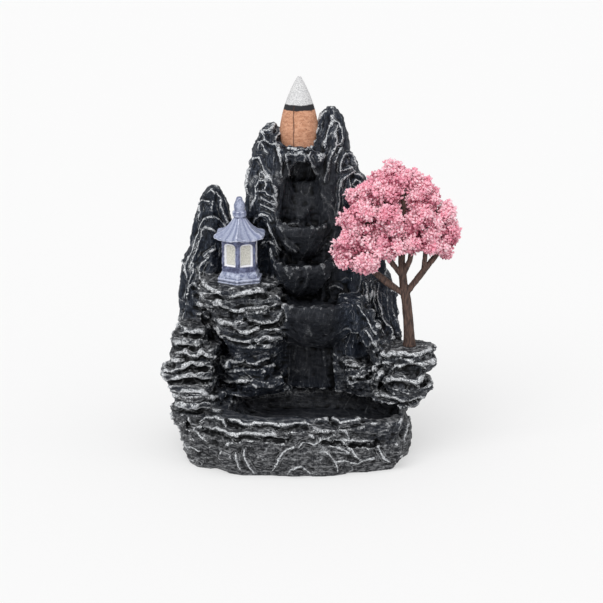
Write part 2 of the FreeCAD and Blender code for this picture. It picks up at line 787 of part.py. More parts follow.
def build_lantern():
    """The lantern, one small casting: stepped foot, six windows, hipped roof and finial."""
    body = new_body(
        "lantern", "Sizes.lantern_x", "Sizes.lantern_y", "Sizes.lantern_ledge", "Sizes.lantern_turn + 30"
    )
    step_foot = stack("plinth_height")
    slope_foot = stack("plinth_height", "step_height")
    body_foot = stack("plinth_height", "step_height", "foot_slope_height")
    eave_foot = body_foot | stack("body_height")
    roof_foot = eave_foot | stack("eave_thickness")
    neck_foot = roof_foot | stack("roof_height")
    finial_foot = neck_foot | stack("neck_height")
    layer(body, "plinth", {"plinth_radius": 1}, {"plinth_height": 1})
    layer(body, "step", {"step_radius": 1}, {"step_height": 1}, step_foot)
    slope(body, "foot_slope", [({"step_radius": 0.97}, slope_foot), ({"body_radius": 1}, body_foot)])
    layer(body, "walls", {"body_radius": 1}, {"body_height": 1}, body_foot)
    layer(body, "eave", {"eave_radius": 1}, {"eave_thickness": 1}, eave_foot)
    roof = [
        ({"eave_radius": 0.99}, roof_foot),
        ({"eave_radius": 0.75}, roof_foot | {"roof_height": 0.22}),
        ({"eave_radius": 0.48}, roof_foot | {"roof_height": 0.56}),
        ({"neck_radius": 1}, neck_foot),
    ]
    slope(body, "roof", roof)
    crown = [
        ({}, neck_foot | {"roof_height": -0.2}),
        ({"neck_radius": 0.8}, neck_foot | {"roof_height": -0.2}),
        ({"neck_radius": 0.8}, neck_foot | {"neck_height": 0.2}),
        ({"neck_radius": 1}, neck_foot | {"neck_height": 0.3}),
        ({"neck_radius": 1}, neck_foot | {"neck_height": 0.9}),
        ({"finial_radius": 0.86}, finial_foot),
        ({"finial_radius": 0.62}, finial_foot | {"finial_height": 0.72}),
        ({"finial_radius": 0.56}, finial_foot | {"finial_height": 1, "finial_radius": -0.45}),
        ({"finial_radius": 0.17}, finial_foot | {"finial_height": 1}),
        ({}, finial_foot | {"finial_height": 1}),
    ]
    bulges = {
        5: ({"finial_radius": 0.98}, finial_foot | {"finial_height": 0.3}),
        7: ({"finial_radius": 0.45}, finial_foot | {"finial_height": 1, "finial_radius": -0.13}),
    }
    revolve(body, "crown", outline(body, "crown_profile", "XZ_Plane", crown, bulges))
    sill = body_foot | {"window_sill": 1}
    spring = sill | {"window_height": 0.88}
    window = [
        ({"window_width": -0.5}, sill),
        ({"window_width": 0.5}, sill),
        ({"window_width": 0.5}, spring),
        ({"window_width": -0.5}, spring),
    ]
    arch = {2: ({}, sill | {"window_height": 1})}
    face = {"body_radius": round(math.cos(math.radians(30)), 6)}
    opening = outline(body, "window_outline", "XZ_Plane", window, arch, face)
    pocket = body.newObject("PartDesign::Pocket", "window")
    pocket.Profile = opening
    pocket.setExpression("Length", "Sizes.window_depth")
    windows = body.newObject("PartDesign::PolarPattern", "windows")
    windows.Originals = [pocket]
    windows.Axis = (origin_plane(body, "Z_Axis"), [""])
    windows.Angle = 360
    windows.Occurrences = 6
    body.Tip = windows
    return body


def outer_spots(shape):
    """Spots inside a stone, close to its corners that lie farthest up, forward and to the sides."""
    middle = shape.CenterOfMass
    corners = [corner.Point for corner in shape.Vertexes]
    spots = []
    for way in (Vector(0, 0, 1), Vector(0, -1, 0), Vector(1, 0, 0), Vector(-1, 0, 0)):
        corner = max(corners, key=way.dot)
        spots.append(corner + (middle - corner) * 0.1)
    return spots


tree, limbs = build_tree()
nodes = [build_lantern(), build_cone(), tree, *build_blossom(limbs), build_rock()]
doc.recompute()

for item in doc.Objects:
    if "Invalid" in item.State or "Error" in item.State:
        raise RuntimeError(f"{item.Name} is in the state {item.State}")
mass = doc.getObject("stones")
spots = [spot for stone in mass.Shapes for spot in outer_spots(stone.Shape)]
held = Part.Compound([Part.Vertex(spot) for spot in spots]).common(mass.Shape)
if len(held.Vertexes) < len(spots):
    raise RuntimeError("a stone is missing from the casting")
os.makedirs("parts", exist_ok=True)
for node in nodes:
    shape = node.Shape
    if shape.isNull() or not shape.isValid() or len(shape.Solids) != 1:
        raise RuntimeError(f"{node.Label} is not one sound solid")
    shape.exportStep(f"parts/{node.Label}.step")
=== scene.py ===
"""Looks of the backflow incense burner: painted rock, lantern, incense cone and blossom tree."""

import math

import bmesh
import bpy
import numpy as np
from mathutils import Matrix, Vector, noise


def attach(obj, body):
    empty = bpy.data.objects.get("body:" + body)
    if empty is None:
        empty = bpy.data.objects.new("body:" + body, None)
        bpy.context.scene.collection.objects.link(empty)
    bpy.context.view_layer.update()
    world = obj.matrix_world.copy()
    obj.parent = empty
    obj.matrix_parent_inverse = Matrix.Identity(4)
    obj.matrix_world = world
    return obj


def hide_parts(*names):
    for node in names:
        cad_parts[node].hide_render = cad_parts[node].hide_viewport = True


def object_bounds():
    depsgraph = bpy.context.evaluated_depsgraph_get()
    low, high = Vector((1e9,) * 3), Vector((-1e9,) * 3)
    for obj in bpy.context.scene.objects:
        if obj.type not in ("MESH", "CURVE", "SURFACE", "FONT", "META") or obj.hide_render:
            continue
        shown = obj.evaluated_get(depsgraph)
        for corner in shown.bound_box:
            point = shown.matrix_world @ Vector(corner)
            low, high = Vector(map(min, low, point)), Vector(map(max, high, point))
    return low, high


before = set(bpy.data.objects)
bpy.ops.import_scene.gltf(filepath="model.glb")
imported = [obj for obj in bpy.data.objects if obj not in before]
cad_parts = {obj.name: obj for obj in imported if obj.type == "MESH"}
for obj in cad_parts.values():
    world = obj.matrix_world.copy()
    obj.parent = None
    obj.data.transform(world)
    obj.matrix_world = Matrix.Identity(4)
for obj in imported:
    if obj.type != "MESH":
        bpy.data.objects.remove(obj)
lowest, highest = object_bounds()
MM = 0.001
PRESSED = 4.0


# Meshes: work is done in millimetres and scaled at the end
def add_object(name, mesh):
    """Puts a mesh in the scene."""
    obj = bpy.data.objects.new(name, mesh)
    bpy.context.scene.collection.objects.link(obj)
    return obj


def cad_copy(node, name):
    """A merged copy of a CAD node's mesh, in millimetres."""
    bm = bmesh.new()
    bm.from_mesh(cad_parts[node].data)
    bmesh.ops.scale(bm, vec=(1 / MM,) * 3, verts=bm.verts)
    bmesh.ops.remove_doubles(bm, verts=bm.verts, dist=0.005)
    bmesh.ops.recalc_face_normals(bm, faces=bm.faces)
    mesh = bpy.data.meshes.new(name)
    bm.to_mesh(mesh)
    bm.free()
    return add_object(name, mesh)


def applied(obj):
    """Puts the result of a piece's modifiers in place of its mesh."""
    graph = bpy.context.evaluated_depsgraph_get()
    mesh = bpy.data.meshes.new_from_object(obj.evaluated_get(graph))
    obj.modifiers.clear()
    old = obj.data
    obj.data = mesh
    bpy.data.meshes.remove(old)
    return obj


def remeshed(obj, voxel, smoothing):
    """Gives a copy an even skin of small faces, with its edges softened."""
    skin = obj.modifiers.new("skin", "REMESH")
    skin.mode = "VOXEL"
    skin.voxel_size = voxel
    if smoothing:
        soften = obj.modifiers.new("soften", "SMOOTH")
        soften.factor = 0.5
        soften.iterations = smoothing
    return applied(obj)


def read_points(mesh):
    """Points and normals as arrays."""
    points = np.zeros(len(mesh.vertices) * 3)
    normals = np.zeros(len(mesh.vertices) * 3)
    mesh.vertices.foreach_get("co", points)
    mesh.vertices.foreach_get("normal", normals)
    return points.reshape(-1, 3), normals.reshape(-1, 3)


def write_points(mesh, points):
    """Moves the points of a mesh."""
    mesh.vertices.foreach_set("co", points.ravel())
    mesh.update()


def write_values(mesh, name, values):
    """Stores one number a point for the materials."""
    layer = mesh.attributes.new(name, "FLOAT", "POINT")
    layer.data.foreach_set("value", values.astype(np.float32))


def neighbours(mesh):
    """The edges of a mesh and the number of edges at each point."""
    edges = np.zeros(len(mesh.edges) * 2, int)
    mesh.edges.foreach_get("vertices", edges)
    edges = edges.reshape(-1, 2)
    count = np.bincount(edges.ravel(), minlength=len(mesh.vertices))
    return edges, count


def averaged(values, edges, count, rounds):
    """Values blended with those of their neighbours, several times."""
    for _ in range(rounds):
        total = values.copy()
        for axis in range(values.shape[1]):
            total[:, axis] += np.bincount(edges[:, 0], values[edges[:, 1], axis], len(values))
            total[:, axis] += np.bincount(edges[:, 1], values[edges[:, 0], axis], len(values))
        values = total / (count[:, None] + 1)
    return values


def relief(mesh, rounds):
    """How far each point stands out of its surroundings, in millimetres."""
    points, normals = read_points(mesh)
    edges, count = neighbours(mesh)
    smooth = averaged(points, edges, count, rounds)
    return np.einsum("ij,ij->i", points - smooth, normals)


def ramp(values, start, end):
    """0 below start, 1 above end, smooth between."""
    share = np.clip((values - start) / (end - start), 0, 1)
    return share * share * (3 - 2 * share)


def noise_field(points, scale, seed):
    """Smooth noise of about -1 to 1 at every point; scale is a number for each axis."""
    spots = points * np.array(scale) + seed
    return np.array([noise.noise(spot) for spot in spots.tolist()])


def kept_inside(points):
    """Presses what stands out of the CAD model's box back to it, over the last few millimetres."""
    for axis in range(3):
        for sign, limit in ((1, highest[axis] / MM), (-1, -lowest[axis] / MM)):
            over = sign * points[:, axis] - (limit - PRESSED)
            share = PRESSED / max(over.max(), PRESSED)
            points[:, axis] -= sign * np.maximum(over, 0) * (1 - share)
    return points


def finish_piece(obj, *nodes, slot, material):
    """Scales a piece to metres, gives it its material and hangs it under the root body."""
    write_points(obj.data, kept_inside(read_points(obj.data)[0]))
    obj.data.transform(((MM, 0, 0, 0), (0, MM, 0, 0), (0, 0, MM, 0), (0, 0, 0, 1)))
    obj.data.materials.clear()
    obj.data.materials.append(material)
    for polygon in obj.data.polygons:
        polygon.use_smooth = True
    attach(obj, "root")
    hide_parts(*nodes)
    return obj


# Materials
class Shader:
    """A short way to write node trees."""

    def __init__(self, tree):
        self.tree = tree

    def node(self, kind, **settings):
        made = self.tree.nodes.new(kind)
        for name, value in settings.items():
            setattr(made, name, value)
        return made

    def link(self, source, target):
        self.tree.links.new(source, target)

    def feed(self, value, socket):
        """A socket takes a link from an output, or a plain value."""
        if isinstance(value, bpy.types.NodeSocket):
            self.link(value, socket)
        else:
            socket.default_value = value

    def maths(self, operation, first, second=0.0, clamp=False):
        made = self.node("ShaderNodeMath", operation=operation, use_clamp=clamp)
        self.feed(first, made.inputs[0])
        self.feed(second, made.inputs[1])
        return made.outputs[0]

    def step(self, value, start, end, low=0.0, high=1.0):
        made = self.node("ShaderNodeMapRange", interpolation_type="SMOOTHSTEP")
        self.feed(value, made.inputs["Value"])
        self.feed(start, made.inputs["From Min"])
        self.feed(end, made.inputs["From Max"])
        self.feed(low, made.inputs["To Min"])
        self.feed(high, made.inputs["To Max"])
        return made.outputs["Result"]

    def mix(self, share, first, second, blend="MIX"):
        made = self.node("ShaderNodeMix", data_type="RGBA", blend_type=blend)
        self.feed(share, made.inputs[0])
        self.feed(first, made.inputs[6])
        self.feed(second, made.inputs[7])
        return made.outputs[2]

    def attribute(self, name):
        return self.node("ShaderNodeAttribute", attribute_name=name).outputs["Fac"]

    def place(self):
        """Object coordinates in millimetres."""
        made = self.node("ShaderNodeVectorMath", operation="SCALE")
        self.link(self.node("ShaderNodeTexCoord").outputs["Object"], made.inputs[0])
        made.inputs["Scale"].default_value = 1 / MM
        return made.outputs[0]

    def stretch(self, vector, scale):
        made = self.node("ShaderNodeVectorMath", operation="MULTIPLY")
        self.link(vector, made.inputs[0])
        self.feed(scale, made.inputs[1])
        return made.outputs[0]

    def grain(self, vector, scale, detail=3.0, rough=0.55, warp=0.0):
        made = self.node("ShaderNodeTexNoise")
        self.link(vector, made.inputs["Vector"])
        made.inputs["Scale"].default_value = scale
        made.inputs["Detail"].default_value = detail
        made.inputs["Roughness"].default_value = rough
        made.inputs["Distortion"].default_value = warp
        return made.outputs["Fac"]

    def bump(self, height, strength, distance):
        made = self.node("ShaderNodeBump")
        made.inputs["Strength"].default_value = strength
        made.inputs["Distance"].default_value = distance * MM
        self.link(height, made.inputs["Height"])
        return made.outputs["Normal"]


def colour(red, green, blue):
    """A screen colour of 0 to 255, as the linear values that shaders take."""
    linear = [
        share / 12.92 if share <= 0.04045 else ((share + 0.055) / 1.055) ** 2.4
        for share in (red / 255, green / 255, blue / 255)
    ]
    return (*linear, 1.0)


def new_material(name, roughness):
    """An empty material, its writer and its surface shader."""
    material = bpy.data.materials.new(name)
    material.use_nodes = True
    write = Shader(material.node_tree)
    surface = material.node_tree.nodes["Principled BSDF"]
    surface.inputs["Roughness"].default_value = roughness
    return material, write, surface


def rock_material():
    """Dark blue-grey paint, dry-brushed pale on every raised edge and vein."""
    material, write, surface = new_material("rock_resin", 0.5)
    place = write.place()
    speck = write.grain(place, 3.0, 3.0, 0.65)
    patch = write.grain(place, 0.22, 2.0)
    mottle = write.grain(place, 1.3, 2.0, 0.6)
    loose = write.maths("MULTIPLY", write.maths("SUBTRACT", write.maths("ADD", speck, mottle), 1.0), 0.8)
    edge = write.attribute("edge")
    painted_shade = write.attribute("painted_shade")
    brushed = write.attribute("brushed")
    rough_edge = write.maths("ADD", edge, write.maths("MULTIPLY", loose, 1.1))
    rough_edge = write.maths("ADD", rough_edge, write.maths("MULTIPLY", brushed, 0.16))
    raised = write.step(rough_edge, 0.45, 0.88)
    raised = write.maths("MULTIPLY", raised, write.step(mottle, 0.36, 0.52, 0.3, 1.0))
    side = write.maths("ABSOLUTE", write.maths("ADD", write.attribute("side"), write.maths("MULTIPLY", loose, 1.1)))
    thick = write.step(patch, 0.3, 0.7, 0.24, 0.5)
    vein = write.step(side, thick, write.maths("MULTIPLY", thick, 0.45))
    vein = write.maths("MULTIPLY", vein, write.step(write.attribute("vein"), 0.2, 0.5))
    vein = write.maths("MULTIPLY", vein, write.step(loose, -0.22, -0.02, 0.4, 1.0))
    vein = write.maths("MULTIPLY", vein, write.step(mottle, 0.34, 0.46, 0.6, 1.0))
    beside = write.step(write.maths("ABSOLUTE", write.maths("SUBTRACT", side, 1.5)), 0.3, 0.05)
    vein = write.maths("MAXIMUM", vein, write.maths("MULTIPLY", beside, write.step(patch, 0.42, 0.62, 0.0, 0.5)))
    fold = write.step(write.maths("ABSOLUTE", write.attribute("fold")), 0.06, 0.0)
    fold = write.maths("MULTIPLY", fold, write.step(patch, 0.38, 0.6, 0.1, 0.8))
    crease = write.step(write.maths("ABSOLUTE", write.attribute("crease")), 0.07, 0.0)
    crease = write.maths("MULTIPLY", crease, write.step(patch, 0.4, 0.65, 0.1, 0.4))
    lines = write.maths("MULTIPLY", write.maths("MAXIMUM", fold, crease), write.step(loose, -0.12, 0.08, 0.15, 0.8))
    pale = write.maths("MAXIMUM", raised, write.maths("MAXIMUM", vein, lines), clamp=True)
    loud = write.maths("SUBTRACT", 1.0, write.maths("MULTIPLY", write.attribute("calm"), 0.6))
    pale = write.maths("MULTIPLY", pale, loud)
    pock = write.step(write.grain(place, 1.1, 2.0, 0.5), 0.36, 0.44)
    pale = write.maths("MULTIPLY", pale, write.maths("MAXIMUM", pock, write.step(brushed, 0.5, 0.0, 0.3, 0.75)))
    pale = write.maths("POWER", pale, 1.3)
    flow = write.grain(write.stretch(place, (2.0, 2.0, 0.3)), 1.0, 3.0, 0.6, 0.5)
    low = write.attribute("low")
    grey = write.maths("MAXIMUM", low, write.maths("MULTIPLY", write.attribute("calm"), 0.7))
    deep = write.mix(grey, colour(13, 17, 25), colour(17, 18, 21))
    body = write.mix(patch, deep, write.mix(grey, colour(35, 42, 54), colour(44, 45, 49)))
    streaks = write.maths("MULTIPLY", write.step(flow, 0.53, 0.64, 0.0, 0.5), loud)
    body = write.mix(streaks, body, write.mix(grey, colour(84, 91, 104), colour(92, 93, 96)))
    leafy = write.grain(write.stretch(place, (0.5, 0.5, 1.6)), 1.1, 3.0, 0.65, 0.5)
    dust = write.maths("MULTIPLY", write.step(leafy, 0.46, 0.64), write.step(low, 0.0, 1.0, 0.05, 0.9))
    body = write.mix(dust, body, colour(118, 119, 121))
    # painted shade: near-black in the hollows and under the broad ledges
    dark = write.mix(write.step(painted_shade, 0.1, 0.8), body, colour(7, 8, 10))
    tone = write.mix(write.step(speck, 0.35, 0.65), colour(134, 138, 144), colour(236, 238, 240))
    write.link(write.mix(pale, dark, tone), surface.inputs["Base Color"])
    surface.inputs["Specular IOR Level"].default_value = 0.13
    height = write.maths("ADD", write.maths("MULTIPLY", pale, 0.5), write.maths("MULTIPLY", speck, 0.5))
    write.link(write.bump(height, 0.5, 0.3), surface.inputs["Normal"])
    return material


def lantern_material():
    """Periwinkle paint, pale on the roof and the edges, with white-framed cream panes."""
    material, write, surface = new_material("lantern_resin", 0.7)
    place = write.place()
    speck = write.grain(place, 2.6, 3.0, 0.65)
    patch = write.grain(place, 0.6, 2.0)
    roof = write.attribute("roof")
    loose = write.maths("MULTIPLY", write.maths("SUBTRACT", speck, 0.5), 0.7)
    chalky = write.maths("ADD", patch, loose)
    posts = write.mix(write.step(chalky, 0.35, 0.7), colour(62, 66, 95), colour(116, 122, 153))
    foot = write.mix(write.step(chalky, 0.27, 0.68), colour(108, 116, 147), colour(186, 193, 213))
    body = write.mix(write.attribute("foot"), posts, foot)
    tiled = write.maths("ADD", write.maths("MULTIPLY", write.attribute("streak"), 0.35), loose)
    tiles = write.mix(write.step(tiled, -0.25, 0.3), colour(120, 127, 156), colour(176, 183, 203))
    body = write.mix(roof, body, tiles)
    # painted shade: the hollows darkened to a deep blue-grey
    shade = write.mix(write.step(write.maths("ADD", write.attribute("painted_shade"), loose), 0.2, 0.9), body, colour(46, 49, 72))
    raised = write.step(write.maths("ADD", write.attribute("edge"), loose), 0.35, 0.95)
    pale = write.mix(raised, shade, colour(204, 209, 226))
    cream = write.mix(write.step(speck, 0.3, 0.7), colour(178, 177, 167), colour(222, 220, 211))
    glazed = write.mix(write.attribute("frame"), pale, colour(236, 236, 240))
    write.link(write.mix(write.attribute("pane"), glazed, cream), surface.inputs["Base Color"])
    write.link(write.bump(speck, 0.35, 0.12), surface.inputs["Normal"])
    return material


def cone_material():
    """Tan pressed powder, a char band and pale ash above it."""
    material, write, surface = new_material("incense", 0.9)
    place = write.place()
    split = write.node("ShaderNodeSeparateXYZ")
    write.link(place, split.inputs[0])
    speck = write.grain(place, 3.0, 3.0, 0.7)
    wobble = write.maths("MULTIPLY", write.maths("SUBTRACT", write.grain(place, 0.35, 2.0), 0.5), 0.8)
    level = write.maths("ADD", split.outputs[2], wobble)
    pressed = write.grain(write.stretch(place, (0.7, 0.7, 1.6)), 0.8, 3.0, 0.6)
    pore = write.step(write.grain(place, 2.2, 2.0, 0.5), 0.4, 0.34, 0.0, 0.6)
    tan = write.mix(write.step(pressed, 0.3, 0.7), colour(178, 124, 94), colour(212, 160, 130))
    tan = write.mix(pore, tan, colour(112, 70, 52))
    char = write.mix(speck, colour(16, 17, 20), colour(48, 48, 52))
    ash = write.mix(write.step(speck, 0.3, 0.7), colour(168, 168, 170), colour(236, 236, 236))
    lower = write.mix(write.step(level, CHAR_LOW - 0.15, CHAR_LOW + 0.15), tan, char)
    whole = write.mix(write.step(level, CHAR_HIGH - 0.15, CHAR_HIGH + 0.25), lower, ash)
    crack = write.attribute("crack")
    # the crack is painted dark brown: painted shade inside it
    write.link(write.mix(crack, whole, colour(70, 48, 40)), surface.inputs["Base Color"])
    write.link(write.bump(speck, 0.6, 0.25), surface.inputs["Normal"])
    return material


def trunk_material():
    """Matt brown with bark grooves."""
    material, write, surface = new_material("trunk_plastic", 0.75)
    place = write.place()
    bark = write.grain(write.stretch(place, (1.6, 1.6, 0.3)), 1.2, 3.0, 0.6, 0.3)
    tone = write.mix(write.step(bark, 0.3, 0.7), colour(38, 26, 23), colour(96, 73, 63))
    write.link(tone, surface.inputs["Base Color"])
    write.link(write.bump(bark, 0.7, 0.3), surface.inputs["Normal"])
    return material


def blossom_material():
    """Pink foam crumbs, each with a tone of its own, with painted shade: deeper pink in hollows, between puffs and on
    undersides.
    """
    material, write, surface = new_material("blossom", 0.85)
    place = write.place()
    speck = write.grain(place, 1.5, 3.0, 0.7)
    light = write.mix(write.attribute("tint"), colour(246, 158, 178), colour(255, 210, 220))
    light = write.mix(write.step(speck, 0.4, 0.7), light, colour(255, 226, 232))
    rosy = write.grain(place, 0.14, 1.0)
    light = write.mix(write.step(rosy, 0.48, 0.62, 0.0, 0.45), light, colour(236, 136, 162))
    # painted shade: deeper pink in hollows, between puffs and underneath
    deep = write.mix(write.step(write.attribute("depth"), 0.08, 0.95, 0.0, 0.9), light, colour(156, 52, 82))
    write.link(deep, surface.inputs["Base Color"])
    surface.inputs["Subsurface Weight"].default_value = 0.12
    surface.inputs["Subsurface Radius"].default_value = (1.2 * MM, 0.6 * MM, 0.6 * MM)
    surface.inputs["Subsurface Scale"].default_value = 1.0
    write.link(write.bump(speck, 0.5, 0.3), surface.inputs["Normal"])
    return material


# Rock
def inside(values, start, end, soft):
    """1 between start and end, with soft limits."""
    return ramp(values, start - soft, start + soft) * (1 - ramp(values, end - soft, end + soft))


def bedding(points):
    """Where the stone lies in flat layers: the stacks and ledges, and part of the base."""
    x, y, z = points.T
    lantern = inside(x, -37, -5, 1.5) * (1 - ramp(y, 6, 10)) * inside(z, 17, 62, 1.5)
    left = (1 - ramp(x, -30, -26)) * (1 - ramp(y, 6, 10)) * inside(z, 10, 46, 1.5)
    tree = ramp(x, 22, 25) * (1 - ramp(y, 1, 5)) * inside(z, 10, 41, 1.5)
    steps = inside(x, 12, 28, 1) * inside(y, -12, 4, 1.5) * inside(z, 16, 33, 1)
    base = 0.75 * (1 - ramp(z, 16, 20))
    return np.clip(np.maximum.reduce([lantern, left, tree, steps, base]), 0, 1)


# The front view: across and down from its upper left corner, in steps of a third of a millimetre
EYE = np.array((0.0, -610.8, 206.95))
EYE_TILT = math.radians(14.2)
VIEW_MIDDLE = 301.5
VIEW_REACH = 1800.0


def front_view(points):
    """Where points are seen from the front, and how far away they are."""
    forward = np.array((0, math.cos(EYE_TILT), -math.sin(EYE_TILT)))
    up = np.array((0, math.sin(EYE_TILT), math.cos(EYE_TILT)))
    away = points - EYE
    depth = away @ forward
    across = VIEW_MIDDLE + VIEW_REACH * away[:, 0] / depth
    down = VIEW_MIDDLE - VIEW_REACH * (away @ up) / depth
    return across, down, depth


def in_sight(across, down, depth):
    """Which points are the nearest ones in their part of the front view."""
    part = (across // 3).astype(int) * 300 + (down // 3).astype(int)
    nearest = np.full(part.max() + 1, np.inf)
    np.minimum.at(nearest, part, depth)
    return depth < nearest[part] + 2.2


def line_distance(across, down, line):
    """Distance in the view from every point to a traced line, negative on its left."""
    nearest = np.full(len(across), 99.0)
    for (x, y), (next_x, next_y) in zip(line, line[1:]):
        run, fall = next_x - x, next_y - y
        share = ((across - x) * run + (down - y) * fall) / (run * run + fall * fall)
        share = np.clip(share, 0, 1)
        gap = np.hypot(across - x - share * run, down - y - share * fall)
        side = np.where((across - x) * fall - (down - y) * run < 0, -1.0, 1.0)
        nearest = np.where(gap < abs(nearest), side * gap, nearest)
    return nearest


# Raised veins of the relief, traced in the front view
THIN_VEINS = [
    # left summit
    [(262, 132), (265, 139), (269, 143), (276, 145), (279, 149), (281, 155), (282, 163), (281, 177)],
    [(262, 132), (268, 131), (272, 129), (274, 125)],
    [(280, 130), (284, 135), (287, 142)],
    [(281, 133), (276, 136), (275, 141), (278, 144)],
    [(286, 155), (287, 162), (288, 170), (289, 177)],
    [(264, 140), (259, 143), (258, 148)],
    [(262, 144), (265, 148), (267, 152)],
    [(248, 193), (247, 183), (249, 172), (251, 163), (254, 158), (259, 157), (262, 162), (265, 169)],
    [(265, 169), (269, 175), (272, 180), (275, 187), (276, 194), (275, 198), (276, 206)],
    [(252, 207), (256, 196), (257, 186), (260, 178), (262, 172), (266, 174), (269, 179)],
    [(259, 191), (265, 192), (270, 195), (275, 197)],
    [(260, 181), (266, 180), (268, 184), (265, 189)],
    [(254, 222), (257, 217), (262, 214), (267, 216), (271, 220)],
    [(262, 198), (268, 201), (274, 204)],
    [(261, 204), (267, 207), (274, 210)],
    # right summit
    [(326, 112), (322, 117), (319, 123), (318, 130), (316, 137), (315, 144)],
    [(318, 120), (313, 127), (308, 131), (306, 137), (304, 143)],
    [(307, 140), (311, 142), (312, 147), (311, 152), (309, 157), (311, 162), (314, 167), (318, 173)],
    [(331, 117), (333, 121), (330, 127), (328, 134), (326, 140), (325, 146)],
    [(333, 120), (338, 123), (341, 130), (342, 138), (340, 143), (336, 146), (332, 152), (329, 160)],
    [(329, 160), (328, 168), (326, 175), (325, 181)],
    [(336, 126), (334, 132), (336, 138), (335, 144)],
    [(341, 148), (337, 154), (334, 162)],
    [(341, 171), (341, 162), (343, 156), (348, 153), (352, 157), (355, 164)],
    [(345, 170), (350, 168), (354, 171)],
    [(362, 178), (357, 175), (352, 173), (346, 176), (342, 181), (340, 187), (339, 194), (340, 201), (337, 214)],
    [(353, 183), (355, 180), (359, 181), (360, 185), (357, 188), (353, 186)],
    [(349, 179), (349, 187), (347, 194)],
    # lip of the cup
    [(288, 148), (295, 151), (302, 151), (308, 149)],
    [(289, 154), (296, 155), (302, 153)],
    # left peak
    [(205, 219), (210, 217), (215, 217), (219, 220), (222, 224), (226, 228)],
    [(205, 219), (202, 224), (199, 232), (196, 241), (192, 252), (188, 262), (185, 271)],
    [(215, 232), (211, 229), (207, 228), (204, 231), (202, 238), (199, 246), (196, 254), (191, 268)],
    [(199, 209), (199, 203), (203, 200), (208, 201)],
    [(200, 206), (200, 212), (199, 219)],
    [(216, 193), (219, 198), (221, 206), (223, 215), (227, 223)],
    [(208, 192), (212, 190), (215, 194)],
    [(204, 256), (208, 252), (214, 249)],
    [(199, 284), (200, 275), (201, 267), (204, 262), (208, 258)],
    [(195, 264), (194, 272), (190, 282), (187, 290), (185, 298)],
    [(181, 255), (183, 262), (186, 269), (187, 277)],
    [(183, 314), (180, 320), (177, 328)],
    # beside the falls
    [(268, 225), (271, 230), (274, 237), (277, 245), (281, 251)],
    [(262, 245), (266, 241), (271, 242), (275, 246), (277, 253)],
    [(286, 242), (291, 246), (296, 251)],
    [(279, 222), (288, 224), (297, 223)],
    [(330, 288), (336, 285), (341, 288)],
    # right flank
    [(371, 281), (371, 290), (370, 297), (368, 304)],
    [(378, 285), (377, 293), (379, 301), (381, 310), (384, 319), (388, 325), (391, 331), (392, 338)],
    [(390, 291), (396, 293), (398, 300), (399, 308), (400, 316)],
    [(359, 306), (363, 313), (368, 320), (371, 327), (375, 334)],
    [(366, 330), (371, 338), (376, 345), (379, 350)],
    [(366, 284), (367, 291), (366, 299), (369, 306)],
    [(373, 286), (374, 294), (374, 303), (377, 311), (379, 318)],
    [(375, 322), (380, 328), (384, 335)],
    # foot
    [(171, 412), (174, 420), (178, 428), (181, 436), (184, 444), (188, 451)],
    [(170, 422), (173, 430), (177, 440), (181, 449), (186, 456), (193, 461)],
    [(176, 421), (181, 429), (184, 438), (187, 445)],
    [(188, 418), (191, 425), (196, 431), (201, 437), (206, 441)],
    [(201, 421), (208, 418), (216, 418), (224, 420), (226, 427)],
    [(186, 446), (193, 447), (199, 450)],
    [(244, 451), (245, 459), (249, 466), (254, 473)],
    [(236, 454), (238, 463), (240, 470)],
    [(272, 471), (276, 465), (279, 459), (282, 454), (287, 450), (293, 448)],
    [(288, 474), (291, 469), (296, 467), (301, 466), (306, 469), (310, 473)],
    [(299, 447), (303, 443), (309, 443), (314, 446), (318, 442), (320, 438), (326, 438), (333, 441)],
    [(322, 452), (328, 454), (333, 459), (336, 465), (338, 471)],
    [(331, 446), (336, 447), (342, 450), (348, 452)],
    [(337, 439), (343, 442), (349, 446), (353, 452), (357, 457), (361, 460)],
    [(335, 461), (343, 460), (350, 462), (357, 463), (365, 460), (372, 458)],
    [(340, 428), (345, 432), (348, 438)],
    [(377, 445), (380, 452), (384, 458), (389, 461)],
    [(409, 412), (408, 421), (406, 430), (403, 440)],
    [(401, 418), (400, 426), (396, 433)],
]
